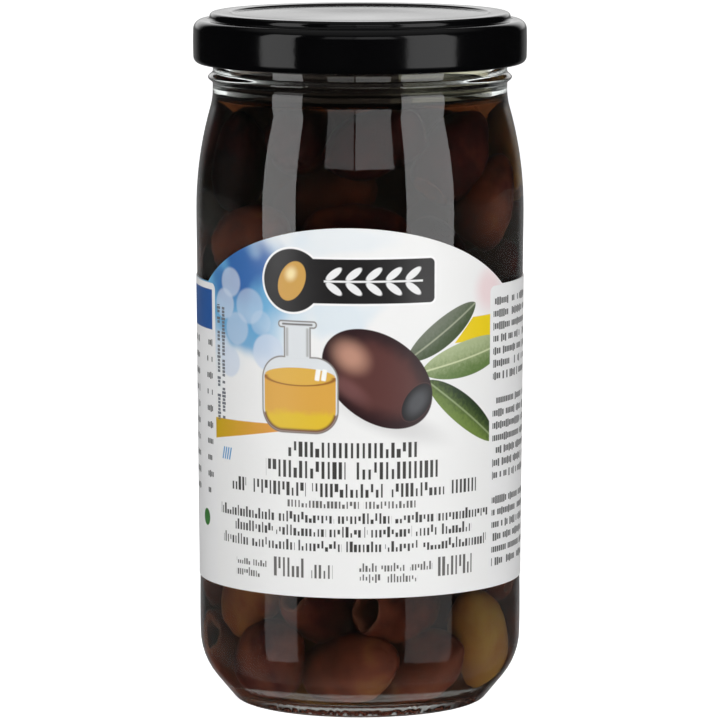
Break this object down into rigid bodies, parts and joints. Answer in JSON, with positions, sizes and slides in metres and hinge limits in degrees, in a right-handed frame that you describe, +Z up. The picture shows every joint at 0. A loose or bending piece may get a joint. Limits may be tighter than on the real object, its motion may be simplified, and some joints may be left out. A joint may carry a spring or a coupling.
{
  "type": "jar of olives",
  "caption": "Glass jar of dark pitted olives in oil, with a black twist-off metal lid and a white paper wrap label whose front rises in an arch.",
  "frame": {"origin": "centre of the jar's base, on the surface that it stands on", "axes": "+Z up along the jar's axis, the label's arched front faces -Y"},
  "size_m": [0.0666, 0.0666, 0.1382],
  "materials": {
    "clear_glass": "clear, slightly green, glossy",
    "olives_in_oil": "dark red-brown olives in amber oil, wet and glossy",
    "black_lacquer": "glossy black lacquer on tinplate",
    "label_paper": "white semi-gloss paper with coloured print"
  },
  "bodies": {
    "root": {"jar": "clear_glass", "contents": "olives_in_oil", "lid": "black_lacquer", "label": "label_paper"}
  },
  "joints": []
}
